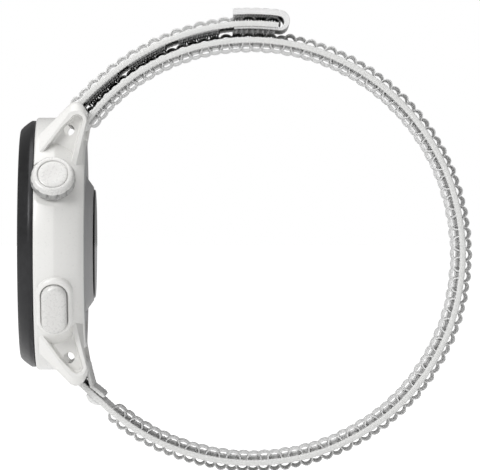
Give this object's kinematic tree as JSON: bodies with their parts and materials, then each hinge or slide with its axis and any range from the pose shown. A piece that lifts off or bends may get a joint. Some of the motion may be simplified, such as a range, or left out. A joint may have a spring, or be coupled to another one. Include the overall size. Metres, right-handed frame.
{
  "type": "gps running watch",
  "caption": "Round sports watch with crown, side button and optical wrist sensor, on a woven hook-and-loop strap closed in a loop.",
  "frame": {"origin": "middle of the sensor window's flat outer face, on the wrist side of the watch head", "axes": "+X out of the watch's back towards the wrist (the display faces -X), +Z towards 12 o'clock, -Y towards 3 o'clock, where the crown and button are"},
  "size_m": [0.0744, 0.0426, 0.076],
  "materials": {
    "bezel": "dark satin, fine turning marks",
    "case": "pearl white, satin gloss",
    "glass": "polished",
    "screen": "dark screen",
    "rubber": "matte",
    "copper": "copper foil",
    "chassis": "moulded",
    "board": "solder mask",
    "steel": "machined",
    "cell": "foil",
    "cover": "satin",
    "window": "polished, black",
    "gold": "gold plated",
    "switch": "moulded",
    "crown": "satin, bevelled edges",
    "weave": "woven nylon loops",
    "hooks": "hook tape",
    "tab": "smooth nylon"
  },
  "bodies": {
    "watch": {"mid_case": "case", "bezel": "bezel", "display_glass": "glass", "display_panel": "screen", "bezel_gasket": "rubber", "gps_antenna": "copper", "inner_frame": "chassis", "main_board": "board", "radio_shield": "steel", "processor_shield": "steel", "battery": "cell", "vibration_motor": "steel", "pressure_sensor": "steel", "back_cover": "cover", "cover_gasket": "rubber", "sensor_window": "window", "light_barrier": "chassis", "sensor_board": "board", "light_diode_green": "gold", "light_diode_red": "gold", "light_diode_infrared": "gold", "photodiode": "gold", "sensor_flex": "copper", "crown_bush": "steel", "crown_seal": "rubber", "encoder_chip": "switch", "crown_switch": "switch", "button_seal": "rubber", "button_switch": "switch", "upper_bar_tube": "steel", "lower_bar_tube": "steel", "strap_band": "weave", "back_screw_1": "steel", "charge_pin_1": "gold", "back_screw_2": "steel", "charge_pin_2": "gold", "back_screw_3": "steel", "charge_pin_3": "gold", "back_screw_4": "steel", "charge_pin_4": "gold"},
    "crown_rotor": {"encoder_wheel": "rubber"},
    "crown": {"crown_knob": "crown", "crown_cap": "crown", "crown_shaft": "steel", "crown_clip": "steel", "crown_spring": "steel"},
    "button": {"button_cap": "crown", "button_shaft": "steel", "button_clip": "steel", "button_spring": "steel"},
    "upper_pin_near": {"upper_bar_pin_near": "steel"},
    "upper_pin_far": {"upper_bar_pin_far": "steel"},
    "lower_pin_near": {"lower_bar_pin_near": "steel"},
    "lower_pin_far": {"lower_bar_pin_far": "steel"},
    "strap_tail": {"strap_tail": "weave", "hook_patch_1": "hooks", "hook_patch_2": "hooks", "hook_patch_3": "hooks", "strap_end_tab": "tab"}
  },
  "joints": [
    {"name": "crown_spin", "type": "hinge", "parent": "watch", "child": "crown_rotor", "pos_m": [-0.00655, -0.01828, 0.01034], "axis": [0, -0.8704, 0.4924], "continuous": true},
    {"name": "crown_press", "type": "slide", "parent": "crown_rotor", "child": "crown", "axis": [0, 0.8704, -0.4924], "range_m": [0, 0.0004], "stiffness_N_per_m": 1500, "springref_m": -0.0004, "deforming": ["crown_spring"]},
    {"name": "button_press", "type": "slide", "parent": "watch", "child": "button", "axis": [0, 0.866, 0.5], "range_m": [0, 0.0004], "stiffness_N_per_m": 1500, "springref_m": -0.0004, "deforming": ["button_spring"]},
    {"name": "upper_pin_near_slide", "type": "slide", "parent": "watch", "child": "upper_pin_near", "axis": [0, 1, 0], "range_m": [0, 0.0012], "stiffness_N_per_m": 600, "springref_m": -0.001},
    {"name": "upper_pin_far_slide", "type": "slide", "parent": "watch", "child": "upper_pin_far", "axis": [0, -1, 0], "range_m": [0, 0.0012], "stiffness_N_per_m": 600, "springref_m": -0.001},
    {"name": "lower_pin_near_slide", "type": "slide", "parent": "watch", "child": "lower_pin_near", "axis": [0, 1, 0], "range_m": [0, 0.0012], "stiffness_N_per_m": 600, "springref_m": -0.001},
    {"name": "lower_pin_far_slide", "type": "slide", "parent": "watch", "child": "lower_pin_far", "axis": [0, -1, 0], "range_m": [0, 0.0012], "stiffness_N_per_m": 600, "springref_m": -0.001},
    {"name": "tail_peel", "type": "hinge", "parent": "watch", "child": "strap_tail", "pos_m": [-0.00384, 0, 0.0223], "axis": [0, -1, 0], "range_deg": [0, 100]}
  ]
}
